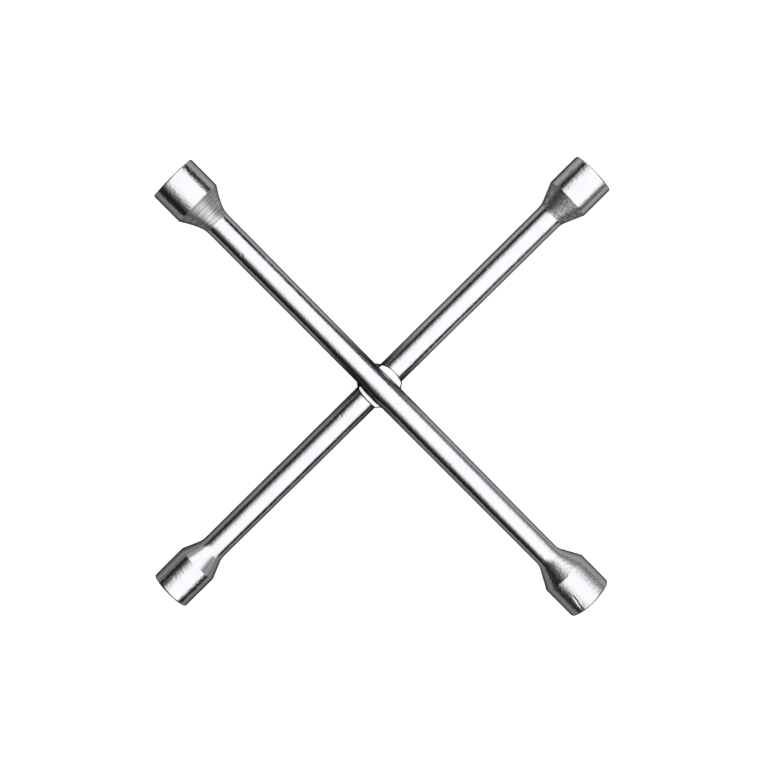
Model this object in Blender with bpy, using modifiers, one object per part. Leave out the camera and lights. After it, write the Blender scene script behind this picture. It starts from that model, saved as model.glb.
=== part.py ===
"""Four-way lug wrench: two crossed steel bars with a hexagon socket welded to each end.

Metres, +Z up. The wrench lies flat: the lower bar runs along Y and the upper bar along X.
The origin is at the middle of the outline, on the surface that the wrench lies on.
"""

import math
from collections import namedtuple

import bmesh
import bpy
from mathutils import Matrix, Vector

MM = 0.001

# Each arm runs from the crossing to the mouth of its socket.
#   nut: across flats of the hexagon          reach: from the crossing's centre to the mouth
#   barrel_d, barrel_length: the socket's round outside     neck_length: the cone behind it
#   root_d, neck_d: the bar's diameter beside the crossing and at the neck
#   flare: 1 is a straight cone, more makes its side hollow     rim: rounding of the mouth's edge
Arm = namedtuple(
    "Arm",
    "bar heading nut reach barrel_d barrel_length neck_length root_d neck_d flare rim",
)
ARMS = {
    "23mm": Arm("upper", (-1, 0, 0), 23.0, 174.0, 31.0, 21.3, 16.0, 15.5, 16.1, 1.45, 0.3),
    "21mm": Arm("upper", (1, 0, 0), 21.0, 181.8, 30.3, 22.6, 13.6, 16.3, 15.5, 1.0, 1.5),
    "19mm": Arm("lower", (0, 1, 0), 19.0, 180.8, 28.4, 21.9, 13.9, 16.4, 16.8, 1.05, 1.0),
    "17mm": Arm("lower", (0, -1, 0), 17.0, 177.0, 26.2, 23.6, 12.4, 16.3, 15.9, 1.05, 1.2),
}

# Fits
GAP = 0.3  # clearance between neighbouring pieces
AXIS_RISE = 9.0  # the upper bar's axis above the lower bar's

# Bars
ROOT_AT = 12.0  # from the crossing's centre to where root_d holds
SPIGOT_R = 5.0  # turned-down end that locates the socket
SPIGOT_LENGTH = 7.0

# Sockets
HEX_DEPTH = 17.0
RELIEF_DEPTH = 2.0  # round hole below the hexagon
DRILL_POINT = 2.5  # cone at the bottom of that hole
RELIEF_SHARE = 0.98  # its diameter, of the nut's across flats
LEAD_IN = 0.4  # the mouth's chamfer, past the hexagon's corners
BORE_DEPTH = 8.0  # hole for the spigot

# Weld rings at the necks: a V groove round the spigot, filled and dressed
GROOVE_HALF = 2.2  # half its width at the surface
GROOVE_ROOT = 0.6  # half its width at the spigot
SEAM = 0.4  # clearance along the axis between the groove's side and the weld metal

# Weld beads at the crossing, each covering a quarter turn seen from above
WELD_CORNER = 12.75  # from the centre to the bead's edge between the bars
WELD_INSET = 0.3  # the beads' flat tops, below the upper bar's axis or above the lower bar's
WELD_EDGE = 0.6  # rounding of the beads' edges
WELD_HALF_ANGLE = 44.3
Bead = namedtuple("Bead", "heading reach")  # reach: from the centre to the bead's middle
BEADS = {
    "crossing_weld_top_a": Bead(90.0, 12.65),
    "crossing_weld_top_b": Bead(-90.0, 11.5),
    "crossing_weld_under_a": Bead(0.0, 12.2),
    "crossing_weld_under_b": Bead(180.0, 12.2),
}

STEPS = 36  # facets round every turned piece
RIM_POINTS = 3
NECK_POINTS = 4
RING_POINTS = 4
BEAD_POINTS = 12
MERGE = 1e-6
CUTTER_LENGTH = 60.0

CHROME = (0.62, 0.63, 0.65)
WELD_CHROME = (0.55, 0.56, 0.58)

LOWER_AXIS = max(arm.barrel_d for arm in ARMS.values() if arm.bar == "lower") / 2
AXIS_HEIGHT = {"lower": LOWER_AXIS, "upper": LOWER_AXIS + AXIS_RISE}
PAIRS = {"upper": ("21mm", "23mm"), "lower": ("19mm", "17mm")}  # the arm along +X or +Y first
CROSSING = Vector(
    (
        (ARMS["23mm"].reach - ARMS["21mm"].reach) / 2,
        (ARMS["17mm"].reach - ARMS["19mm"].reach) / 2,
        0,
    )
)


def clear_scene():
    for obj in list(bpy.data.objects):
        bpy.data.objects.remove(obj, do_unlink=True)


def make_collection(name):
    made = bpy.data.collections.new(name)
    bpy.context.scene.collection.children.link(made)
    return made


def make_material(name, colour, roughness):
    material = bpy.data.materials.new(name)
    material.use_nodes = True
    shader = material.node_tree.nodes["Principled BSDF"]
    shader.inputs["Base Color"].default_value = (*colour, 1)
    shader.inputs["Metallic"].default_value = 1.0
    shader.inputs["Roughness"].default_value = roughness
    return material


def add_object(name, mesh, collection, material=None):
    obj = bpy.data.objects.new(name, mesh)
    collection.objects.link(obj)
    if material:
        mesh.materials.append(material)
    return obj


def hide_cutter(obj):
    obj.hide_render = True
    obj.display_type = "WIRE"
    return obj


def place_on_axis(obj, bar, heading):
    """Stands the object's own Z along heading, on the bar's axis, with its own Y upwards."""
    obj.location = (CROSSING + Vector((0, 0, AXIS_HEIGHT[bar]))) * MM
    obj.rotation_mode = "QUATERNION"
    obj.rotation_quaternion = Vector(heading).to_track_quat("Z", "Y")


def turn(name, profile, collection, material=None):
    """A solid turned about Z from (radius, height) points that run down its outer side."""
    mesh = bpy.data.meshes.new(name)
    points = [(radius * MM, 0, height * MM) for radius, height in profile]
    edges = [(i, i + 1) for i in range(len(points) - 1)]
    mesh.from_pydata(points, edges, [])
    obj = add_object(name, mesh, collection, material)
    screw = obj.modifiers.new("Turn", "SCREW")
    screw.steps = STEPS
    screw.render_steps = STEPS
    screw.use_merge_vertices = True
    screw.merge_threshold = MERGE
    screw.use_smooth_shade = True
    return obj


def cut(obj, cutter, operation="DIFFERENCE"):
    boolean = obj.modifiers.new("Cut by " + cutter.name, "BOOLEAN")
    boolean.operation = operation
    boolean.solver = "EXACT"
    boolean.object = cutter


def neck_start(arm):
    """Distance from the crossing to the small end of the neck."""
    return arm.reach - arm.barrel_length - arm.neck_length


def neck_radius(arm, past_start):
    """Outside radius of the neck, at a distance past its small end."""
    share = past_start / arm.neck_length
    return arm.neck_d / 2 + (arm.barrel_d - arm.neck_d) / 2 * share**arm.flare


def bar_half(arm, grow):
    """The bar's profile from its end to beside the crossing, as (radius, distance)."""
    start = neck_start(arm)
    return [
        (0, start + SPIGOT_LENGTH + grow),
        (SPIGOT_R + grow, start + SPIGOT_LENGTH + grow),
        (SPIGOT_R + grow, start - GROOVE_ROOT),
        (arm.neck_d / 2 + grow, start - GROOVE_HALF),
        (arm.root_d / 2 + grow, ROOT_AT),
    ]


def make_bar(bar, name, collection, material=None, grow=0.0):
    ahead, behind = (ARMS[key] for key in PAIRS[bar])
    back = [(radius, -distance) for radius, distance in reversed(bar_half(behind, grow))]
    obj = turn(name, bar_half(ahead, grow) + back, collection, material)
    place_on_axis(obj, bar, ahead.heading)
    return obj


def rim_arc(arm):
    """Rounding from the mouth's flat face to the barrel's side."""
    arc = []
    for i in range(RIM_POINTS + 1):
        angle = math.pi / 2 * i / RIM_POINTS
        radius = arm.barrel_d / 2 - arm.rim + arm.rim * math.sin(angle)
        arc.append((radius, arm.reach - arm.rim + arm.rim * math.cos(angle)))
    return arc


def neck_side(arm):
    """The cone from the barrel's shoulder down to the edge of the weld groove."""
    side = []
    for i in range(NECK_POINTS + 1):
        past = arm.neck_length + (GROOVE_HALF - arm.neck_length) * i / NECK_POINTS
        side.append((neck_radius(arm, past), neck_start(arm) + past))
    return side


def make_socket(size, arm, parts, cutters, material):
    start = neck_start(arm)
    relief_r = arm.nut / 2 * RELIEF_SHARE
    relief_bottom = arm.reach - HEX_DEPTH - RELIEF_DEPTH
    chamfer_r = arm.nut / math.sqrt(3) + LEAD_IN
    bore_r = SPIGOT_R + GAP
    profile = [
        (0, relief_bottom - DRILL_POINT),
        (relief_r, relief_bottom),
        (relief_r, arm.reach - (chamfer_r - relief_r)),
        (chamfer_r, arm.reach),
        *rim_arc(arm),
        *neck_side(arm),
        (bore_r, start + GROOVE_ROOT),
        (bore_r, start + BORE_DEPTH),
        (0, start + BORE_DEPTH),
    ]
    socket = turn("socket_" + size, profile, parts, material)
    place_on_axis(socket, arm.bar, arm.heading)

    hexagon = bmesh.new()
    corner_r = arm.nut / math.sqrt(3) * MM
    flats_up = Matrix.Rotation(math.pi / 6, 4, "Z")
    middle = Matrix.Translation((0, 0, arm.reach * MM))
    bmesh.ops.create_cone(
        hexagon,
        segments=6,
        radius1=corner_r,
        radius2=corner_r,
        depth=2 * HEX_DEPTH * MM,
        cap_ends=True,
        matrix=middle @ flats_up,
    )
    mesh = bpy.data.meshes.new("hexagon_" + size)
    hexagon.to_mesh(mesh)
    hexagon.free()
    cutter = hide_cutter(add_object("hexagon_" + size, mesh, cutters))
    place_on_axis(cutter, arm.bar, arm.heading)
    cut(socket, cutter)


def make_neck_weld(size, arm, parts, material):
    """A ring that fills the V groove, its outside a hollow curve from the bar to the cone."""
    start = neck_start(arm)
    half = GROOVE_HALF - SEAM
    rise = neck_radius(arm, half) - arm.neck_d / 2
    outside = []
    for i in range(RING_POINTS + 1):
        along = 1 - i / RING_POINTS
        outside.append((arm.neck_d / 2 + rise * along**2, start + half * (2 * along - 1)))
    root_r = SPIGOT_R + GAP
    root = GROOVE_ROOT - SEAM
    top, bottom = (root_r, start + root), (root_r, start - root)
    ring = turn("neck_weld_" + size, [top, *outside, bottom, top], parts, material)
    place_on_axis(ring, arm.bar, arm.heading)


def make_box(name, low, high, collection):
    mesh = bpy.data.meshes.new(name)
    box = bmesh.new()
    low, high = Vector(low) * MM, Vector(high) * MM
    size = Matrix.Diagonal((*(high - low), 1))
    bmesh.ops.create_cube(box, size=1, matrix=Matrix.Translation((low + high) / 2) @ size)
    box.to_mesh(mesh)
    box.free()
    return hide_cutter(add_object(name, mesh, collection))


def lap_bars(bars, cutters):
    """Notches the bars into each other at the crossing, each to half of what they share."""
    crest = {
        bar: (ARMS[pair[0]].root_d + ARMS[pair[1]].root_d) / 4 for bar, pair in PAIRS.items()
    }
    lower_top = AXIS_HEIGHT["lower"] + crest["lower"]
    upper_bottom = AXIS_HEIGHT["upper"] - crest["upper"]
    seam = (lower_top + upper_bottom) / 2
    side = CUTTER_LENGTH / 2
    edge = {"upper": (-side, seam + GAP / 2), "lower": (seam - GAP / 2, seam + side)}
    for bar, other in (("upper", "lower"), ("lower", "upper")):
        low, high = edge[bar]
        block = make_box(
            "lap_block_" + bar,
            CROSSING + Vector((-side, -side, low)),
            CROSSING + Vector((side, side, high)),
            cutters,
        )
        cutter = hide_cutter(make_bar(other, "lap_cutter_" + bar, cutters, grow=GAP))
        cut(cutter, block, "INTERSECT")
        cut(bars[bar], cutter)


def bead_outline(bead):
    """The bead seen from above: a wedge from the centre to a rounded outer edge."""
    outline = [(0.0, 0.0)]
    for i in range(BEAD_POINTS + 1):
        angle = math.radians(WELD_HALF_ANGLE) * (2 * i / BEAD_POINTS - 1)
        radius = bead.reach + (WELD_CORNER - bead.reach) * math.sin(2 * angle) ** 2
        outline.append((radius * math.cos(angle), radius * math.sin(angle)))
    return outline


def make_bead(name, bead, parts, cutters, material):
    """Weld metal in the corner between the bars, cut back to clear them both."""
    bottom = AXIS_HEIGHT["lower"] + WELD_INSET
    top = AXIS_HEIGHT["upper"] - WELD_INSET
    curve = bpy.data.curves.new(name + "_outline", "CURVE")
    curve.dimensions = "2D"
    curve.fill_mode = "BOTH"
    curve.extrude = (top - bottom) / 2 * MM
    outline = bead_outline(bead)
    spline = curve.splines.new("POLY")
    spline.points.add(len(outline) - 1)
    for point, (x, y) in zip(spline.points, outline):
        point.co = (x * MM, y * MM, 0, 1)
    spline.use_cyclic_u = True
    shape = bpy.data.objects.new(name + "_outline", curve)
    cutters.objects.link(shape)
    shape.location = (CROSSING + Vector((0, 0, (top + bottom) / 2))) * MM
    shape.rotation_euler.z = math.radians(bead.heading)
    bpy.context.view_layer.update()

    evaluated = shape.evaluated_get(bpy.context.evaluated_depsgraph_get())
    mesh = bpy.data.meshes.new_from_object(evaluated)
    mesh.name = name
    welded = bmesh.new()
    welded.from_mesh(mesh)
    bmesh.ops.remove_doubles(welded, verts=welded.verts, dist=MERGE)
    bmesh.ops.recalc_face_normals(welded, faces=welded.faces)
    welded.to_mesh(mesh)
    welded.free()
    obj = add_object(name, mesh, parts, material)
    obj.matrix_world = shape.matrix_world
    bpy.data.objects.remove(shape, do_unlink=True)

    bevel = obj.modifiers.new("Rounded edges", "BEVEL")
    bevel.width = WELD_EDGE * MM
    bevel.segments = 2
    bevel.limit_method = "ANGLE"
    for bar in PAIRS:
        cut(obj, bpy.data.objects["bar_clearance_" + bar])


def main():
    clear_scene()
    parts = make_collection("lug_wrench")
    cutters = make_collection("cutters")
    chrome = make_material("bar_chrome", CHROME, 0.18)
    socket_chrome = make_material("socket_chrome", CHROME, 0.15)
    ring_chrome = make_material("neck_chrome", WELD_CHROME, 0.22)
    weld_chrome = make_material("weld_chrome", WELD_CHROME, 0.25)

    bars = {bar: make_bar(bar, bar + "_bar", parts, chrome) for bar in PAIRS}
    lap_bars(bars, cutters)
    for size, arm in ARMS.items():
        make_socket(size, arm, parts, cutters, socket_chrome)
        make_neck_weld(size, arm, parts, ring_chrome)
    for bar in PAIRS:
        hide_cutter(make_bar(bar, "bar_clearance_" + bar, cutters, grow=GAP))
    for name, bead in BEADS.items():
        make_bead(name, bead, parts, cutters, weld_chrome)


main()
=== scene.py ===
"""The looks of the lug wrench: turned bars, forged sockets and weld beads, on a pale floor."""

import math
from collections import namedtuple

import bmesh
import bpy
from mathutils import Matrix, Vector, noise


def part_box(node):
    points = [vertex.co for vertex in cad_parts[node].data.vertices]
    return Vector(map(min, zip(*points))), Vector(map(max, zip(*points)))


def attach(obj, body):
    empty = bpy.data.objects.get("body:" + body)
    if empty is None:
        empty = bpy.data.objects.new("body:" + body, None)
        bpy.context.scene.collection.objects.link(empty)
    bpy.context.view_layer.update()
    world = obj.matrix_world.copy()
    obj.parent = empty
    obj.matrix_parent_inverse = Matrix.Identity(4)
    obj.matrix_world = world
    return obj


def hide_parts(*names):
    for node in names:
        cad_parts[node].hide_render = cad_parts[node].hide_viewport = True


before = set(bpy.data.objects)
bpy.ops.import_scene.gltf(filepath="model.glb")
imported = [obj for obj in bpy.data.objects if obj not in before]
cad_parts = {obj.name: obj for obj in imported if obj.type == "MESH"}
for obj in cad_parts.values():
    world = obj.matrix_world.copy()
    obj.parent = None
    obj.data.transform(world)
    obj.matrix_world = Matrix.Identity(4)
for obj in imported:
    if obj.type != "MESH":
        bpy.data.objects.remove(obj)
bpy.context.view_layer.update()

MM = 0.001
TAU = 2 * math.pi

# Sizes that the frame's boxes don't say, in mm, as in the CAD model
GAP = 0.3  # between the two bars where they are notched together
SPIGOT_R = 5.0
SPIGOT_LENGTH = 7.0
BORE_R = 5.3
BORE_DEPTH = 8.0
GROOVE_HALF = 2.2
GROOVE_ROOT = 0.6
HEX_DEPTH = 17.0
RELIEF_DEPTH = 2.0
RELIEF_SHARE = 0.98
DRILL_POINT = 2.5
LEAD_IN = 0.4
BROACH_CORNER = 0.25  # how far the hexagon's corners are rounded off
ROOT_AT = 12.0  # from the crossing's centre to where root_d holds

# Each arm's own shape, in mm.
#   root_d, neck_d: the bar's diameter beside the crossing and at the neck
#   flare: 1 is a straight cone     rim, shoulder: rounding of the barrel's two edges
#   rings: depth of the turning marks on the neck     pitch: the distance between them
Arm = namedtuple(
    "Arm",
    "bar heading nut barrel_length neck_length root_d neck_d flare rim shoulder rings pitch seed",
)
ARMS = {
    "23mm": Arm("upper", (-1, 0, 0), 23, 21.3, 16.0, 15.5, 16.1, 1.45, 0.95, 0.35, 0.09, 1.3, 3.0),
    "21mm": Arm("upper", (1, 0, 0), 21, 22.6, 13.6, 16.3, 15.5, 1.0, 1.5, 0.5, 0.012, 0.9, 11.0),
    "19mm": Arm("lower", (0, 1, 0), 19, 21.9, 13.9, 16.4, 16.8, 1.05, 1.0, 0.5, 0.04, 1.0, 23.0),
    "17mm": Arm("lower", (0, -1, 0), 17, 23.6, 12.4, 16.3, 15.9, 1.05, 1.2, 1.1, 0.012, 0.9, 37.0),
}
PAIRS = {"upper": ("21mm", "23mm"), "lower": ("19mm", "17mm")}

# Fineness of the meshes: points round a section, and distances between sections
SEGMENTS = 192
BAR_STEP = 1.2
LAP_STEP = 0.4
DING_STEP = 0.25
BARREL_STEP = 0.6
NECK_STEP = 0.16
HEX_STEP = 2.0
LEAD_IN_STEP = 0.2
ARC_POINTS = 7

# Slow waves in the polished steel: length of a wave, and depth
BAR_WAVE, BAR_RIPPLE = (14.0, 0.06), (4.0, 0.012)
SOCKET_WAVE, SOCKET_RIPPLE = (9.0, 0.05), (3.0, 0.014)

BOXES = {size: [Vector(corner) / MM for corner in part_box("socket_" + size)] for size in ARMS}
MIDDLES = {size: (low + high) / 2 for size, (low, high) in BOXES.items()}
CROSSING = Vector((MIDDLES["19mm"].x, MIDDLES["21mm"].y, 0))
AXIS = {bar: CROSSING + Vector((0, 0, MIDDLES[pair[0]].z)) for bar, pair in PAIRS.items()}
BARREL_R = {size: (high.z - low.z) / 2 for size, (low, high) in BOXES.items()}
REACH = {
    size: max((corner - CROSSING).dot(Vector(arm.heading)) for corner in BOXES[size])
    for size, arm in ARMS.items()
}
NECK_START = {
    size: REACH[size] - arm.barrel_length - arm.neck_length for size, arm in ARMS.items()
}


# ---------------------------------------------------------------- meshes


def add_piece(name, mesh, nodes, materials, sharp=30.0):
    """Adds a mesh as a piece of the object, riding on the only body."""
    for material in materials:
        mesh.materials.append(material)
    mesh.shade_smooth()
    mesh.set_sharp_from_angle(angle=math.radians(sharp))
    obj = bpy.data.objects.new(name, mesh)
    bpy.context.scene.collection.objects.link(obj)
    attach(obj, "root")
    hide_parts(*nodes)
    return obj


def ring_grid(name, rows, closed_ends=True):
    """A mesh from rows of points round an axis, all of one length and in metres."""
    mesh_b = bmesh.new()
    rings = [[mesh_b.verts.new(point) for point in row] for row in rows]
    for near, far in zip(rings, rings[1:]):
        count = len(near)
        for i in range(count):
            j = (i + 1) % count
            mesh_b.faces.new((near[i], near[j], far[j], far[i]))
    if closed_ends:
        for ring in (rings[0], rings[-1]):
            middle = mesh_b.verts.new(sum((v.co for v in ring), Vector()) / len(ring))
            for i in range(len(ring)):
                mesh_b.faces.new((ring[i], ring[(i + 1) % len(ring)], middle))
    bmesh.ops.recalc_face_normals(mesh_b, faces=mesh_b.faces)
    mesh = bpy.data.meshes.new(name)
    mesh_b.to_mesh(mesh)
    mesh_b.free()
    return mesh


def turned_rows(profile, bar, heading, radius_at):
    """Rows of points for a (distance, radius) profile along an arm; radius_at bends the radius."""
    heading = Vector(heading)
    side = heading.cross(Vector((0, 0, 1)))
    rows = []
    for index, (distance, radius) in enumerate(profile):
        row = []
        for i in range(SEGMENTS):
            angle = TAU * i / SEGMENTS
            r = radius_at(index, distance, radius, angle)
            offset = Vector((0, 0, 1)) * math.cos(angle) + side * math.sin(angle)
            row.append((AXIS[bar] + heading * distance + offset * r) * MM)
        rows.append(row)
    return rows


def spread(start, end, step):
    """Values from start to end, about step apart, with both ends."""
    count = max(1, round(abs(end - start) / step))
    return [start + (end - start) * i / count for i in range(count + 1)]


def waviness(seed, distance, angle, radius, length, depth):
    """Slow unevenness of a polished surface, in mm. length is the size of one wave."""
    place = Vector(
        (distance, radius * math.cos(angle), radius * math.sin(angle))
    ) / length + Vector((seed, seed * 0.7, 0))
    return depth * noise.noise(place)


# ---------------------------------------------------------------- materials


def tree_of(name):
    material = bpy.data.materials.new(name)
    material.use_nodes = True
    nodes, links = material.node_tree.nodes, material.node_tree.links
    return material, nodes, links, nodes["Principled BSDF"]


def noise_node(nodes, links, scale, detail=3.0, stretch=(1, 1, 1)):
    """A noise texture in the piece's own metres; scale is in waves per metre."""
    coordinates = nodes.new("ShaderNodeTexCoord")
    mapping = nodes.new("ShaderNodeMapping")
    mapping.inputs["Scale"].default_value = stretch
    texture = nodes.new("ShaderNodeTexNoise")
    texture.inputs["Scale"].default_value = scale
    texture.inputs["Detail"].default_value = detail
    links.new(coordinates.outputs["Object"], mapping.inputs["Vector"])
    links.new(mapping.outputs["Vector"], texture.inputs["Vector"])
    return texture


def ramp_node(nodes, links, source, low, high, start, end):
    """Maps a grey value from start..end to low..high colours."""
    ramp = nodes.new("ShaderNodeValToRGB")
    ramp.color_ramp.elements[0].position = start
    ramp.color_ramp.elements[0].color = (*low, 1)
    ramp.color_ramp.elements[1].position = end
    ramp.color_ramp.elements[1].color = (*high, 1)
    links.new(source, ramp.inputs["Fac"])
    return ramp.outputs["Color"]


def range_node(nodes, links, source, low, high, start=0.3, end=0.7):
    mapped = nodes.new("ShaderNodeMapRange")
    mapped.inputs["From Min"].default_value = start
    mapped.inputs["From Max"].default_value = end
    mapped.inputs["To Min"].default_value = low
    mapped.inputs["To Max"].default_value = high
    links.new(source, mapped.inputs["Value"])
    return mapped.outputs["Result"]


def bump_node(nodes, links, source, distance, strength, after=None):
    bump = nodes.new("ShaderNodeBump")
    bump.inputs["Distance"].default_value = distance
    bump.inputs["Strength"].default_value = strength
    links.new(source, bump.inputs["Height"])
    if after:
        links.new(after, bump.inputs["Normal"])
    return bump.outputs["Normal"]


# Textures' scales, in waves per metre
TONE_SCALE = 90
STREAK_SCALE = 900
PEEL_SCALE = 600
BAND_SCALE = 1100
BORE_TONE_SCALE = 160
BORE_GRAIN_SCALE = 1400


def chrome(name, low, high, rough, stretch, orange_peel, streaks):
    """Chrome plate with slightly uneven tone and roughness, fine streaks and a soft orange peel."""
    material, nodes, links, shader = tree_of(name)
    shader.inputs["Metallic"].default_value = 1.0
    shader.inputs["Specular Tint"].default_value = EDGE_TINT
    tone = noise_node(nodes, links, TONE_SCALE, 5)
    links.new(ramp_node(nodes, links, tone.outputs["Fac"], low, high, 0.35, 0.65),
              shader.inputs["Base Color"])
    streak = noise_node(nodes, links, STREAK_SCALE, 2, stretch)
    links.new(range_node(nodes, links, streak.outputs["Fac"], rough[0], rough[1]),
              shader.inputs["Roughness"])
    peel = noise_node(nodes, links, PEEL_SCALE, 2)
    first = bump_node(nodes, links, peel.outputs["Fac"], orange_peel * MM, 1.0)
    second = bump_node(nodes, links, streak.outputs["Fac"], streaks * MM, 1.0, first)
    links.new(second, shader.inputs["Normal"])
    return material


def dressed_chrome(name, low, high, stretch):
    """Thin plate over a neck dressed on a belt: duller, with darker bands."""
    material, nodes, links, shader = tree_of(name)
    shader.inputs["Metallic"].default_value = 1.0
    shader.inputs["Specular Tint"].default_value = EDGE_TINT
    band = noise_node(nodes, links, BAND_SCALE, 4, stretch)
    links.new(ramp_node(nodes, links, band.outputs["Fac"], low, high, 0.38, 0.62),
              shader.inputs["Base Color"])
    links.new(range_node(nodes, links, band.outputs["Fac"], 0.46, 0.30),
              shader.inputs["Roughness"])
    links.new(bump_node(nodes, links, band.outputs["Fac"], 0.05 * MM, 1.0), shader.inputs["Normal"])
    return material


def bare_bore(name):
    """The inside of a socket: thin, dull plating over the broach's marks."""
    material, nodes, links, shader = tree_of(name)
    shader.inputs["Metallic"].default_value = 1.0
    tone = noise_node(nodes, links, BORE_TONE_SCALE, 4)
    links.new(ramp_node(nodes, links, tone.outputs["Fac"], (0.30, 0.30, 0.31), (0.46, 0.46, 0.47),
                        0.35, 0.65), shader.inputs["Base Color"])
    links.new(range_node(nodes, links, tone.outputs["Fac"], 0.28, 0.42), shader.inputs["Roughness"])
    grain = noise_node(nodes, links, BORE_GRAIN_SCALE, 3)
    links.new(bump_node(nodes, links, grain.outputs["Fac"], 0.03 * MM, 0.6),
              shader.inputs["Normal"])
    return material


EDGE_TINT = (0.12, 0.12, 0.12, 1)  # how dark the plating turns where it is seen edge-on
EVENLY = (1, 1, 1)  # a texture's scale along X, Y and Z
LIGHT_TONE = (0.62, 0.625, 0.632)
DARK_TONE = (0.595, 0.60, 0.61)
ALONG = {"upper": (0.04, 1, 1), "lower": (1, 0.04, 1)}
AROUND = {"upper": (1, 0.04, 0.04), "lower": (0.04, 1, 0.04)}

bar_chrome = {
    bar: chrome("bar_chrome_" + bar, DARK_TONE, LIGHT_TONE, (0.07, 0.16), ALONG[bar], 0.09, 0.006)
    for bar in PAIRS
}
socket_chrome = chrome(
    "socket_chrome", DARK_TONE, LIGHT_TONE, (0.08, 0.17), EVENLY, 0.16, 0.001
)
worn_chrome = chrome(
    "socket_chrome_worn", DARK_TONE, LIGHT_TONE, (0.18, 0.28), EVENLY, 0.16, 0.001
)
neck_finish = {
    "23mm": dressed_chrome(
        "neck_dressed_23mm", (0.36, 0.36, 0.37), (0.62, 0.62, 0.63), AROUND["upper"]
    ),
    "21mm": worn_chrome,
    "19mm": dressed_chrome(
        "neck_dressed_19mm", (0.20, 0.20, 0.205), (0.52, 0.52, 0.53), (0.4, 1, 0.4)
    ),
    "17mm": chrome(
        "neck_chrome_17mm", DARK_TONE, LIGHT_TONE, (0.14, 0.24), AROUND["lower"], 0.04, 0.012
    ),
}
weld_chrome = chrome("weld_chrome", DARK_TONE, LIGHT_TONE, (0.10, 0.20), EVENLY, 0.05, 0.001)
# Near-black plating for the beads' edges: painted shade in the crevice along each weld's toe
weld_toe_painted_shade = chrome(
    "weld_toe_painted_shade", (0.012, 0.012, 0.013), (0.03, 0.03, 0.032), (0.4, 0.6), EVENLY, 0.02, 0.001
)
bore_finish = bare_bore("socket_bore")


# ---------------------------------------------------------------- bars


SPIGOT_CHAMFER = 0.6


def bar_end(size):
    """The profile of a bar's end, from beside the crossing out to the end of its spigot."""
    arm = ARMS[size]
    start = NECK_START[size]
    root_r, neck_r = arm.root_d / 2, arm.neck_d / 2
    groove = start - GROOVE_HALF
    profile = []
    for distance in spread(ROOT_AT, groove, BAR_STEP):
        share = (distance - ROOT_AT) / (groove - ROOT_AT)
        profile.append((distance, root_r + (neck_r - root_r) * share))
    return profile + [
        (start - GROOVE_ROOT, SPIGOT_R),
        (start + SPIGOT_LENGTH - SPIGOT_CHAMFER, SPIGOT_R),
        (start + SPIGOT_LENGTH, SPIGOT_R - SPIGOT_CHAMFER),
    ]


# How far each bar's two sides swell at the crossing, and over what distance to either side of it
SWELL = {"upper": (0.15, 0.8), "lower": (0.1, 0.1)}
SWELL_REACH = 8.5


def crossing_radius(bar):
    ahead, behind = PAIRS[bar]
    return (ARMS[ahead].root_d + ARMS[behind].root_d) / 4


def lap_limit(bar, distance):
    """How far the bar may reach from its axis towards the other, where the two are notched."""
    other = "lower" if bar == "upper" else "upper"
    apart = AXIS["upper"].z - AXIS["lower"].z
    clear_r = crossing_radius(other) + GAP + max(SWELL[other])
    if abs(distance) >= clear_r:
        return math.inf
    seam = (apart + crossing_radius(bar) - crossing_radius(other)) / 2 - GAP / 2
    return max(seam, apart - math.sqrt(clear_r**2 - distance**2))


# Small dents: distance along the bar from the crossing, degrees from its top, half width, depth
DINGS = {
    "upper": ((-113.0, 21.0, 0.7, 0.12), (-101.0, -52.0, 1.1, 0.12), (62.0, 24.0, 0.6, 0.08)),
    "lower": ((23.4, 28.0, 0.5, 0.20), (-29.0, -24.0, 0.7, 0.12), (96.0, -30.0, 0.6, 0.08)),
}


def dents(bar, distance, angle, radius):
    total = 0.0
    for place, degrees, width, depth in DINGS[bar]:
        along = (distance - place) / width
        if abs(along) < 3:
            across = (angle - math.radians(degrees) % TAU) * radius / width
            total += depth * math.exp(-along * along - across * across)
    return total


def make_bar(bar):
    ahead, behind = PAIRS[bar]
    profile = [(-distance, radius) for distance, radius in reversed(bar_end(behind))]
    middle = spread(-ROOT_AT, ROOT_AT, LAP_STEP)[1:-1]
    radii = ARMS[behind].root_d / 2, ARMS[ahead].root_d / 2
    for distance in middle:
        share = (distance + ROOT_AT) / (2 * ROOT_AT)
        profile.append((distance, radii[0] + (radii[1] - radii[0]) * share))
    profile += bar_end(ahead)
    for place, _, width, _ in DINGS[bar]:
        after = next(i for i, point in enumerate(profile) if point[0] > place - 2 * width)
        radius = profile[after][1]
        keep = [point for point in profile if abs(point[0] - place) > 2 * width + 0.1]
        fine = spread(place - 2 * width, place + 2 * width, DING_STEP)
        profile = sorted(keep + [(distance, radius) for distance in fine])
    seed = ARMS[ahead].seed
    left, right = SWELL[bar]

    def radius_at(index, distance, radius, angle):
        bulge = math.exp(-((distance / SWELL_REACH) ** 4))
        sideways = math.sin(angle)
        amount = right if sideways > 0 else left
        r = radius + amount * bulge * sideways**4
        r += waviness(seed, distance, angle, radius, *BAR_WAVE)
        r += waviness(seed + 5, distance, angle, radius, *BAR_RIPPLE)
        r -= dents(bar, distance, angle, radius)
        facing = math.cos(angle) * (-1 if bar == "upper" else 1)
        limit = lap_limit(bar, distance)
        return limit / facing if facing * r > limit else r

    rows = turned_rows(profile, bar, ARMS[ahead].heading, radius_at)
    mesh = ring_grid(bar + "_bar_fine", rows)
    add_piece(bar + "_bar_fine", mesh, [bar + "_bar"], [bar_chrome[bar]])


# ---------------------------------------------------------------- sockets


def neck_radius(size, past):
    arm = ARMS[size]
    share = max(past, 0) / arm.neck_length
    return arm.neck_d / 2 + (BARREL_R[size] - arm.neck_d / 2) * share**arm.flare


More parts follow.
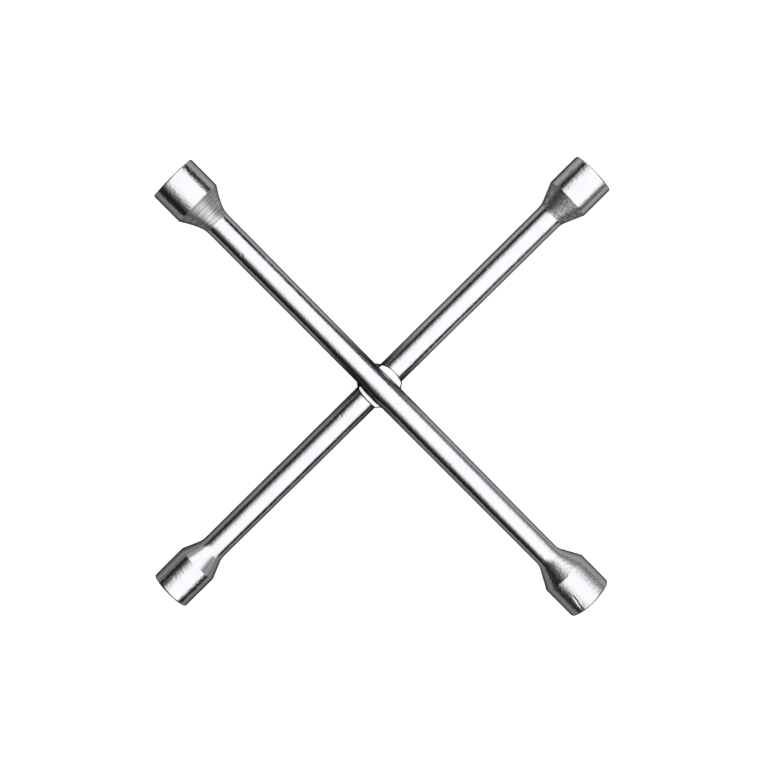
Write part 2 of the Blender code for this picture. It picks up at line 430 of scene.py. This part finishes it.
def fillet(before, corner, after, radius):
    """Points of an arc of this radius that rounds off a corner."""
    before, corner, after = Vector(before), Vector(corner), Vector(after)
    a, b = (before - corner).normalized(), (after - corner).normalized()
    half = a.angle(b) / 2
    reach = radius / math.tan(half)
    centre = corner + (a + b).normalized() * radius / math.sin(half)
    start, end = corner + a * reach - centre, corner + b * reach - centre
    turns = [i / ARC_POINTS for i in range(ARC_POINTS + 1)]
    return [tuple(centre + start.slerp(end, turn) * radius) for turn in turns]


def socket_outside(size):
    """(distance, radius) from the mouth's flat face down the barrel and neck to the weld groove."""
    arm = ARMS[size]
    reach, radius = REACH[size], BARREL_R[size]
    shoulder = reach - arm.barrel_length
    start = NECK_START[size]
    points = fillet((reach, 0), (reach, radius), (shoulder, radius), arm.rim)
    behind = shoulder - 3.0
    bend = fillet((reach, radius), (shoulder, radius), (behind, neck_radius(size, behind - start)),
                  arm.shoulder)
    for distance in spread(points[-1][0], bend[0][0], BARREL_STEP)[1:-1]:
        points.append((distance, radius))
    points += bend
    for distance in spread(bend[-1][0], start + GROOVE_HALF, NECK_STEP)[1:]:
        points.append((distance, neck_radius(size, distance - start)))
    return points


# The turning marks on a neck, in mm: where they start from the neck's start, over what lengths they
# come in and fade out, and how slowly they wander
MARKS_START = -2.0
MARKS_COME_IN, MARKS_FADE_OUT = 3.0, 2.0
MARKS_WANDER = 3.0


def neck_marks(size, distance, angle):
    """Turning marks left where the neck was dressed, in mm of radius."""
    arm = ARMS[size]
    if not arm.rings:
        return 0.0
    past = distance - NECK_START[size]
    fade = min(1.0, max(0.0, (past - MARKS_START) / MARKS_COME_IN))
    fade *= min(1.0, max(0.0, (arm.neck_length - past) / MARKS_FADE_OUT))
    wobble = Vector(
        (distance / MARKS_WANDER, math.cos(angle) * 0.8, math.sin(angle) * 0.8 + arm.seed)
    )
    drift = noise.noise(wobble)
    depth = 0.7 + 0.9 * noise.noise(wobble * 2.3)
    ridge = abs(math.sin(math.pi * distance / arm.pitch + 2.5 * drift)) - 0.6
    return arm.rings * fade * depth * ridge


# A long nick near one mouth. It runs from the first place to the second, each a distance from the
# crossing and an angle in degrees from the barrel's top.
SCRATCHED = "21mm"
SCRATCH = ((170.0, 22.0), (180.0, 30.0))
SCRATCH_WIDTH = 0.5
SCRATCH_DEPTH = 0.32
BURR_SHARE = 0.4  # height of the burr beside it, of the nick's depth
BURR_AT = 1.9  # its distance from the nick, in the nick's widths


def scratch(distance, angle, radius):
    """Depth of the nick, which is negative on the burr along its upper side."""
    (start, start_angle), (end, end_angle) = SCRATCH
    share = (distance - start) / (end - start)
    if not 0 < share < 1:
        return 0.0
    middle = math.radians(start_angle + (end_angle - start_angle) * share)
    off = (angle - middle) * radius / SCRATCH_WIDTH
    depth = SCRATCH_DEPTH * math.sin(math.pi * share) ** 0.5
    return depth * (math.exp(-off * off) - BURR_SHARE * math.exp(-((off + BURR_AT) ** 2)))


BORE_CENTRE_R = 0.4  # small flat in the middle of a drilled hole's bottom
NECK_TOP = 0.2  # how far behind the barrel's shoulder the neck's own finish starts


def make_socket(size):
    arm = ARMS[size]
    reach, radius, start = REACH[size], BARREL_R[size], NECK_START[size]
    flat_r = arm.nut / 2
    corner_r = arm.nut / math.sqrt(3)
    relief_r = flat_r * RELIEF_SHARE
    chamfer_r = corner_r + LEAD_IN
    bottom = reach - HEX_DEPTH - RELIEF_DEPTH
    depths = spread(chamfer_r - flat_r, 0, LEAD_IN_STEP)
    lead_in = [(reach - depth, chamfer_r - depth) for depth in depths]
    inside = [
        (bottom - DRILL_POINT, BORE_CENTRE_R),
        (bottom, relief_r),
        (reach - HEX_DEPTH, relief_r),
        (reach - HEX_DEPTH, 0),  # radius 0 here means the hexagon itself
        *[(distance, 0) for distance in spread(reach - HEX_DEPTH, lead_in[0][0], HEX_STEP)[1:-1]],
        *lead_in,
    ]
    outside = socket_outside(size)
    back = [
        (start + GROOVE_ROOT, BORE_R),
        (start + BORE_DEPTH, BORE_R),
        (start + BORE_DEPTH, BORE_CENTRE_R),
    ]
    profile = inside + outside + back
    hex_rows = range(3, len(inside))
    outer_rows = range(len(inside), len(inside) + len(outside))

    def hexagon(angle):
        turned = (math.degrees(angle) + 30) % 60 - 30
        return min(flat_r / math.cos(math.radians(turned)), corner_r - BROACH_CORNER)

    def radius_at(index, distance, radius, angle):
        if index in hex_rows:
            return max(radius, hexagon(angle))
        if index not in outer_rows:
            return radius
        r = radius + waviness(arm.seed, distance, angle, radius, *SOCKET_WAVE)
        r += waviness(arm.seed + 9, distance, angle, radius, *SOCKET_RIPPLE)
        if size == SCRATCHED:
            r -= scratch(distance, angle, radius)
        return r + neck_marks(size, distance, angle)

    rows = turned_rows(profile, arm.bar, arm.heading, radius_at)
    mesh = ring_grid("socket_fine_" + size, rows)
    plating = worn_chrome if size == SCRATCHED else socket_chrome
    finishes = [plating, bore_finish, neck_finish[size]]
    obj = add_piece("socket_fine_" + size, mesh, ["socket_" + size], finishes)
    inner_faces = SEGMENTS * (len(inside) - 1)
    outer_faces = SEGMENTS * (len(inside) + len(outside))
    heading = Vector(arm.heading)
    neck_top = reach - arm.barrel_length - NECK_TOP
    for face in obj.data.polygons[:outer_faces]:
        if face.index < inner_faces:
            face.material_index = 1
        elif (face.center / MM - CROSSING).dot(heading) < neck_top:
            face.material_index = 2


# How far past the joint the neck's own finish runs, towards the bar
DRESSED_PAST = {"23mm": 0.2, "21mm": 2.5, "19mm": 0.2, "17mm": 2.5}


def make_neck_weld(size):
    arm = ARMS[size]
    start = NECK_START[size]
    neck_r = arm.neck_d / 2
    rise = neck_radius(size, GROOVE_HALF) - neck_r
    outside = []
    for past in spread(GROOVE_HALF, -GROOVE_HALF, NECK_STEP):
        share = (past + GROOVE_HALF) / (2 * GROOVE_HALF)
        outside.append((start + past, neck_r + rise * share**2))
    profile = [(start + GROOVE_ROOT, SPIGOT_R), *outside, (start - GROOVE_ROOT, SPIGOT_R)]
    last = len(profile) - 1

    def radius_at(index, distance, radius, angle):
        if index in (0, last):
            return radius
        share = (distance - start + GROOVE_HALF) / (2 * GROOVE_HALF)
        bar_wave = waviness(ARMS[PAIRS[arm.bar][0]].seed, distance, angle, radius, *BAR_WAVE)
        neck_wave = waviness(arm.seed, distance, angle, radius, *SOCKET_WAVE)
        r = radius + bar_wave * (1 - share) + neck_wave * share
        return r + neck_marks(size, distance, angle)

    rows = turned_rows(profile, arm.bar, arm.heading, radius_at)
    rows.append(rows[0])
    mesh = ring_grid("neck_weld_fine_" + size, rows, closed_ends=False)
    weld = bmesh.new()
    weld.from_mesh(mesh)
    bmesh.ops.remove_doubles(weld, verts=weld.verts, dist=1e-7)
    bmesh.ops.recalc_face_normals(weld, faces=weld.faces)
    weld.to_mesh(mesh)
    weld.free()
    obj = add_piece("neck_weld_fine_" + size, mesh, ["neck_weld_" + size],
                    [neck_finish[size], bar_chrome[arm.bar]])
    heading = Vector(arm.heading)
    for face in obj.data.polygons:
        if (face.center / MM - CROSSING).dot(heading) < start - DRESSED_PAST[size]:
            face.material_index = 1


# ---------------------------------------------------------------- weld beads at the crossing

BEAD_STEPS = 48
CORNER_STEPS = 12
SMOOTHINGS = 5
BEAD_TOP_POINTS = 5  # across its flat top
BEAD_EDGE = 1.1  # rounding of a bead's outer edge
BEAD_EDGE_POINTS = 6
BEAD_LOW, BEAD_HIGH = 1.5, 6.2  # its foot over the bed's axis, beside the bed and at its ends
BEAD_INSIDE = 5.5  # its hidden inner end, inside the bar that it leans on
BEAD_CURVE = 2.2  # how squarely its outer edge bends: 2 is a parabola
BEAD_TUCK = 0.6  # how far its ends reach under the wall's side
BEAD_BELOW = 0.25  # its top, below the wall's axis
BEAD_FALL = 0.9  # how much lower its top is beside the bed
BEAD_RISE = 0.12  # how much higher it is at its inner end
BEAD_RIPPLE_LENGTH, BEAD_RIPPLE = 2.2, 0.10

# A bead lies on one bar (its bed) and against the side of the other (its wall).
#   reach: its outer edge over the bed's ridge, from the crossing's centre
#   ends: the same over the bed's two sides
#   corners: how far it fills the corner beyond the bed's sides, along the wall
#   toe: from which strip of its section the edge is painted dark, as shade in the crevice along the
#       weld's toe, at its start, middle and end
Bead = namedtuple("Bead", "bed wall towards reach ends corners seed toe")
BEADS = {
    "crossing_weld_top_a": Bead(
        "lower", "upper", 1, 12.65, (10.3, 11.3), (1.0, 2.6), 1.0, (5, 7, 5)
    ),
    "crossing_weld_top_b": Bead(
        "lower", "upper", -1, 11.6, (10.3, 11.0), (1.4, 2.0), 2.0, (5, 5, 7)
    ),
    "crossing_weld_under_a": Bead(
        "upper", "lower", 1, 12.2, (10.8, 10.8), (2.5, 2.5), 3.0, (7, 7, 7)
    ),
    "crossing_weld_under_b": Bead(
        "upper", "lower", -1, 12.2, (10.8, 10.8), (2.5, 2.5), 4.0, (7, 7, 7)
    ),
}


def bead_outline(bead):
    """The bead's outer edge in plan, corner to corner, as (along the wall, out from it)."""
    side = crossing_radius(bead.bed)
    wall = crossing_radius(bead.wall)
    foot = wall - BEAD_TUCK

    def corner_points(sign):
        corner, end = bead.corners[sign > 0], bead.ends[sign > 0]
        shares = [i / CORNER_STEPS for i in range(1, CORNER_STEPS + 1)]
        return [(sign * (side + corner * share), end - (end - foot) * share) for share in shares]

    middle = []
    for i in range(BEAD_STEPS + 1):
        share = 2 * i / BEAD_STEPS - 1
        end = bead.ends[share > 0]
        middle.append((share * side, bead.reach + (end - bead.reach) * abs(share) ** BEAD_CURVE))
    outline = corner_points(-1)[::-1] + middle + corner_points(1)
    for _ in range(SMOOTHINGS):
        inner = [
            ((a[0] + 2 * b[0] + c[0]) / 4, (a[1] + 2 * b[1] + c[1]) / 4)
            for a, b, c in zip(outline, outline[1:], outline[2:])
        ]
        outline = [outline[0], *inner, outline[-1]]
    return outline


def bead_section(bead, along, out, outward):
    """One section of a bead: its flat top, its rounded edge, its foot and its inner end."""
    bed_r = crossing_radius(bead.bed)
    above = abs(AXIS["upper"].z - AXIS["lower"].z)  # of the wall's axis over the bed's

    def top_at(x):
        ripple = BEAD_RIPPLE * noise.noise(Vector((x / BEAD_RIPPLE_LENGTH, bead.seed, 0)))
        return above - BEAD_BELOW - BEAD_FALL * (x / bed_r) ** 2 + ripple

    section = []
    inner = Vector((along, BEAD_INSIDE))
    edge = Vector((along, out))
    for i in range(BEAD_TOP_POINTS):
        share = i / (BEAD_TOP_POINTS - 1)
        spot = inner.lerp(edge - outward * BEAD_EDGE, share)
        section.append((spot.x, spot.y, top_at(spot.x) + BEAD_RISE * (1 - share)))
    for i in range(1, BEAD_EDGE_POINTS + 1):
        turn = math.pi / 2 * i / BEAD_EDGE_POINTS
        spot = edge - outward * BEAD_EDGE * (1 - math.sin(turn))
        section.append((spot.x, spot.y, top_at(spot.x) - BEAD_EDGE * (1 - math.cos(turn))))
    corner = bead.corners[along > 0]
    foot = max(BEAD_LOW, math.sqrt(max(0.0, bed_r**2 - along**2)) - 1.0)
    foot += (BEAD_HIGH - BEAD_LOW) * max(0.0, abs(along) - bed_r) / corner
    foot = min(foot, top_at(along) - BEAD_EDGE - 0.1)
    section.append((edge.x, edge.y, foot))
    section.append((inner.x, inner.y, foot))
    return section


def make_bead(name, bead):
    outline = bead_outline(bead)
    wall_way = Vector(ARMS[PAIRS[bead.wall][0]].heading)
    out_way = Vector(ARMS[PAIRS[bead.bed][0]].heading) * bead.towards
    up_way = Vector((0, 0, 1 if bead.bed == "lower" else -1))
    rows = []
    for i, (along, out) in enumerate(outline):
        before, after = outline[max(i - 1, 0)], outline[min(i + 1, len(outline) - 1)]
        outward = Vector((-(after[1] - before[1]), after[0] - before[0])).normalized()
        rows.append([
            (AXIS[bead.bed] + wall_way * x + out_way * y + up_way * z) * MM
            for x, y, z in bead_section(bead, along, out, outward)
        ])
    mesh = ring_grid(name + "_fine", rows)
    add_piece(name + "_fine", mesh, [name], [weld_chrome, weld_toe_painted_shade], sharp=50)
    around_section = len(rows[0])
    last_edge_strip = BEAD_TOP_POINTS + BEAD_EDGE_POINTS - 2
    strips = len(rows) - 1
    # faces from the toe's strip out to the edge's last strip get the painted crevice shade
    for face in mesh.polygons[: around_section * strips]:
        share = 2 * (face.index // around_section) / strips - 1
        toe = bead.toe[1] + (bead.toe[2 if share > 0 else 0] - bead.toe[1]) * abs(share)
        if round(toe) <= face.index % around_section <= last_edge_strip:
            face.material_index = 1


for bar in PAIRS:
    make_bar(bar)
for size in ARMS:
    make_socket(size)
    make_neck_weld(size)
for bead_name, bead_shape in BEADS.items():
    make_bead(bead_name, bead_shape)


# ---------------------------------------------------------------- floor, backdrop and light

EAST = Vector((1, 1, 0)).normalized()  # to the right in the main view
NORTH = Vector((-1, 1, 0)).normalized()  # up in the main view


def math_node(nodes, links, operation, *inputs):
    node = nodes.new("ShaderNodeMath")
    node.operation = operation
    for i, value in enumerate(inputs):
        if isinstance(value, (int, float)):
            node.inputs[i].default_value = value
        else:
            links.new(value, node.inputs[i])
    return node.outputs[0]


def smooth_node(nodes, links, source, start, end):
    mapped = nodes.new("ShaderNodeMapRange")
    mapped.interpolation_type = "SMOOTHSTEP"
    mapped.inputs["From Min"].default_value = start
    mapped.inputs["From Max"].default_value = end
    links.new(source, mapped.inputs["Value"])
    return mapped.outputs["Result"]


def dot_node(nodes, links, source, direction):
    dot = nodes.new("ShaderNodeVectorMath")
    dot.operation = "DOT_PRODUCT"
    links.new(source, dot.inputs[0])
    dot.inputs[1].default_value = direction
    return dot.outputs["Value"]


FLOOR_RADIUS = 6.0
FLOOR_UNDER = 0.0001  # how far the floor lies below the tool, and the next layer below that


def disc(name, radius, height):
    mesh_b = bmesh.new()
    bmesh.ops.create_circle(mesh_b, cap_ends=True, segments=96, radius=radius)
    bmesh.ops.translate(mesh_b, verts=mesh_b.verts, vec=(0, 0, height))
    mesh = bpy.data.meshes.new(name)
    mesh_b.to_mesh(mesh)
    mesh_b.free()
    obj = bpy.data.objects.new(name, mesh)
    bpy.context.scene.collection.objects.link(obj)
    return obj


def show_only_to(obj, camera=False, glossy=False, diffuse=False, shadow=False):
    obj.visible_camera = camera
    obj.visible_glossy = glossy
    obj.visible_diffuse = diffuse
    obj.visible_shadow = shadow
    obj.visible_transmission = False


def make_floor():
    """The pale floor that the camera sees. Seen from below, it is clear."""
    floor = disc("floor", FLOOR_RADIUS, -FLOOR_UNDER)
    material, nodes, links, shader = tree_of("floor_white")
    shader.inputs["Base Color"].default_value = (0.8, 0.8, 0.8, 1)
    shader.inputs["Roughness"].default_value = 1.0
    shader.inputs["Specular IOR Level"].default_value = 0.0
    shader.inputs["Emission Color"].default_value = (1, 1, 1, 1)
    shader.inputs["Emission Strength"].default_value = 0.7
    geometry = nodes.new("ShaderNodeNewGeometry")
    clear = nodes.new("ShaderNodeBsdfTransparent")
    mix = nodes.new("ShaderNodeMixShader")
    links.new(geometry.outputs["Backfacing"], mix.inputs["Fac"])
    links.new(shader.outputs["BSDF"], mix.inputs[1])
    links.new(clear.outputs["BSDF"], mix.inputs[2])
    links.new(mix.outputs["Shader"], nodes["Material Output"].inputs["Surface"])
    floor.data.materials.append(material)
    show_only_to(floor, camera=True)


FLOOR_SHADED_SIDE, FLOOR_LIT_SIDE = 0.32, 0.52  # on the 17 mm socket's side, and on the 19 mm socket's: painted shade on the side away from the light, painted light on the side towards it
SHADE_HALF_WIDTH = 0.03  # over which one turns into the other
UNDER_TOOL_SHADOW = 0.1  # share of that right under the bars: a painted shadow of the tool on the floor
UNDER_NEAR, UNDER_FAR = 0.010, 0.045  # how far from a bar's axis that share starts to rise and ends
FAR_SHADE_SHARE = 0.1  # share of it far from the tool: painted shade where the light falls off
FAR_START, FAR_END = 0.25, 0.5


def make_bounce_floor():
    """A greyer floor that only reflections see, with painted shade: darker on one side, under the
    tool and further away.
    """
    floor = disc("floor_bounce", FLOOR_RADIUS, -2 * FLOOR_UNDER)
    material, nodes, links, shader = tree_of("floor_grey")
    shader.inputs["Roughness"].default_value = 1.0
    shader.inputs["Specular IOR Level"].default_value = 0.0
    place = nodes.new("ShaderNodeNewGeometry").outputs["Position"]
    apart = nodes.new("ShaderNodeSeparateXYZ")
    links.new(place, apart.inputs["Vector"])
    # painted shade on the 17 mm side turning into painted light on the 19 mm side, across Y
    shade = range_node(nodes, links, apart.outputs["Y"], FLOOR_SHADED_SIDE, FLOOR_LIT_SIDE,
                       -SHADE_HALF_WIDTH, SHADE_HALF_WIDTH)
    offsets = [
        math_node(nodes, links, "ABSOLUTE", math_node(nodes, links, "SUBTRACT", apart.outputs[i],
                                                      CROSSING[i] * MM))
        for i in range(2)
    ]
    nearest = math_node(nodes, links, "MINIMUM", *offsets)
    # painted shadow of the bars on the floor, rising from dark under them to none further out
    under = range_node(nodes, links, nearest, UNDER_TOOL_SHADOW, 1.0, UNDER_NEAR, UNDER_FAR)
    shade = math_node(nodes, links, "MULTIPLY", shade, under)
    distance = nodes.new("ShaderNodeVectorMath")
    distance.operation = "LENGTH"
    links.new(place, distance.inputs[0])
    # painted shade far from the tool, where the light falls off
    far = range_node(nodes, links, distance.outputs["Value"], 1.0, FAR_SHADE_SHARE, FAR_START, FAR_END)
    links.new(math_node(nodes, links, "MULTIPLY", shade, far), shader.inputs["Base Color"])
    floor.data.materials.append(material)
    show_only_to(floor, glossy=True, diffuse=True, shadow=True)


BACKDROP_RADIUS = 7.0


def make_backdrop():
    """A pale dome that only the camera sees, behind and below everything."""
    mesh_b = bmesh.new()
    bmesh.ops.create_icosphere(mesh_b, subdivisions=4, radius=BACKDROP_RADIUS)
    mesh = bpy.data.meshes.new("backdrop")
    mesh_b.to_mesh(mesh)
    mesh_b.free()
    dome = bpy.data.objects.new("backdrop", mesh)
    bpy.context.scene.collection.objects.link(dome)
    material, _, _, shader = tree_of("backdrop_white")
    shader.inputs["Base Color"].default_value = (0, 0, 0, 1)
    shader.inputs["Specular IOR Level"].default_value = 0.0
    shader.inputs["Emission Color"].default_value = (1, 1, 1, 1)
    shader.inputs["Emission Strength"].default_value = 1.0
    dome.data.materials.append(material)
    show_only_to(dome, camera=True)


CORE = 1.58  # brightness of the soft light overhead
AMBIENT = 0.02
LIGHT_COLOUR = (0.985, 0.99, 1.0, 1)
CORE_HEIGHTS = (0.24, 0.56)  # sines of the heights where it starts and where it is full
# Its side that fades out has an edge and a longer tail. Each has a start and a full place, as
# distances across a ceiling one unit up, and a share of the light.
CORE_EDGE = (-0.95, -0.15, 0.85)
CORE_TAIL = (-1.9, -0.3, 0.15)
CORE_SLANT = 0.15  # how far that side is turned towards the north

# Dimmer light near the horizon: direction (degrees from east towards north in the main view),
# cosines of the angles to where it is full and where it ends, sines of the heights where it is
# full and where it ends, brightness
GLOWS = (
    (0, 0.86, 0.70, 0.25, 0.50, 0.42),
    (85, 0.94, 0.79, 0.35, 0.62, 0.36),
    (135, 0.88, 0.68, 0.00, 0.20, 0.42),
)
GAP_IN_LIGHT = (5, 0.97, 0.88, 0.55, 0.78, 0.8)  # the same for a darker gap, which takes this share


def around(nodes, links, way, level, direction, narrow, wide):
    """1 towards a direction, falling to 0 where the cosine of the angle to it drops to wide."""
    angle = math.radians(direction)
    middle = EAST * math.cos(angle) + NORTH * math.sin(angle)
    facing = math_node(nodes, links, "DIVIDE", dot_node(nodes, links, way, middle), level)
    return smooth_node(nodes, links, facing, wide, narrow)


def near_horizon(nodes, links, up, low, high):
    """1 below the lower height, falling to 0 at the higher."""
    return math_node(nodes, links, "SUBTRACT", 1.0, smooth_node(nodes, links, up, low, high))


def make_light():
    """A wide soft light overhead that fades out to the west, with dim glows near the horizon."""
    world = bpy.data.worlds.new("studio")
    bpy.context.scene.world = world
    world.use_nodes = True
    nodes, links = world.node_tree.nodes, world.node_tree.links
    way = nodes.new("ShaderNodeTexCoord").outputs["Generated"]
    east = dot_node(nodes, links, way, EAST)
    north = dot_node(nodes, links, way, NORTH)
    up = dot_node(nodes, links, way, (0, 0, 1))
    squares = [math_node(nodes, links, "MULTIPLY", part, part) for part in (east, north)]
    level = math_node(nodes, links, "SQRT", math_node(nodes, links, "ADD", *squares))
    level = math_node(nodes, links, "MAXIMUM", level, 0.01)
    height = math_node(nodes, links, "MAXIMUM", up, 0.02)
    u = math_node(nodes, links, "DIVIDE", east, height)
    v = math_node(nodes, links, "DIVIDE", north, height)
    across = math_node(nodes, links, "ADD", u, math_node(nodes, links, "MULTIPLY", v, CORE_SLANT))
    edge, tail = [
        math_node(nodes, links, "MULTIPLY", smooth_node(nodes, links, across, start, full), share)
        for start, full, share in (CORE_EDGE, CORE_TAIL)
    ]
    core = math_node(nodes, links, "ADD", edge, tail)
    above = smooth_node(nodes, links, up, *CORE_HEIGHTS)
    core = math_node(nodes, links, "MULTIPLY", core, above)
    core = math_node(nodes, links, "MULTIPLY", core, CORE)
    direction, narrow, wide, low, high, taken = GAP_IN_LIGHT
    gap = around(nodes, links, way, level, direction, narrow, wide)
    gap = math_node(nodes, links, "MULTIPLY", gap, near_horizon(nodes, links, up, low, high))
    gap = math_node(nodes, links, "MULTIPLY", gap, -taken)
    core = math_node(nodes, links, "MULTIPLY", core, math_node(nodes, links, "ADD", gap, 1.0))

    total = core
    for direction, narrow, wide, low, high, strength in GLOWS:
        glow = around(nodes, links, way, level, direction, narrow, wide)
        glow = math_node(nodes, links, "MULTIPLY", glow, near_horizon(nodes, links, up, low, high))
        glow = math_node(nodes, links, "MULTIPLY", glow, strength)
        total = math_node(nodes, links, "ADD", total, glow)
    total = math_node(nodes, links, "ADD", total, AMBIENT)
    background = nodes["Background"]
    background.inputs["Color"].default_value = LIGHT_COLOUR
    links.new(total, background.inputs["Strength"])


DISTANCE = 1.25  # from the crossing
LENS = 97.8
SENSOR_WIDTH = 36
CLIP_NEAR, CLIP_FAR = 0.05, 50
LEAN_X, LEAN_Y = math.radians(-5.2), math.radians(1.7)  # off straight down
ROLL = math.radians(0.42)
AIM = Vector((1.4, 2.8, 0)) * MM  # what it looks at, from the crossing


def make_camera():
    crossing = (AXIS["upper"] + AXIS["lower"]) / 2 * MM
    x, y = math.sin(LEAN_X), math.sin(LEAN_Y)
    place = crossing + Vector((x, y, math.sqrt(1 - x * x - y * y))) * DISTANCE
    data = bpy.data.cameras.new("camera")
    data.lens = LENS
    data.sensor_width = SENSOR_WIDTH
    data.clip_start, data.clip_end = CLIP_NEAR, CLIP_FAR
    camera = bpy.data.objects.new("camera", data)
    bpy.context.scene.collection.objects.link(camera)
    camera.location = place
    forward = (crossing + AIM - place).normalized()
    turned = NORTH * math.cos(ROLL) - EAST * math.sin(ROLL)
    right = forward.cross(turned).normalized()
    up = right.cross(forward)
    camera.rotation_mode = "QUATERNION"
    basis = Matrix((right, up, -forward)).transposed()
    camera.rotation_quaternion = basis.to_quaternion()
    bpy.context.scene.camera = camera


make_floor()
make_bounce_floor()
make_backdrop()
make_light()
make_camera()
bpy.context.scene.view_settings.view_transform = "Standard"
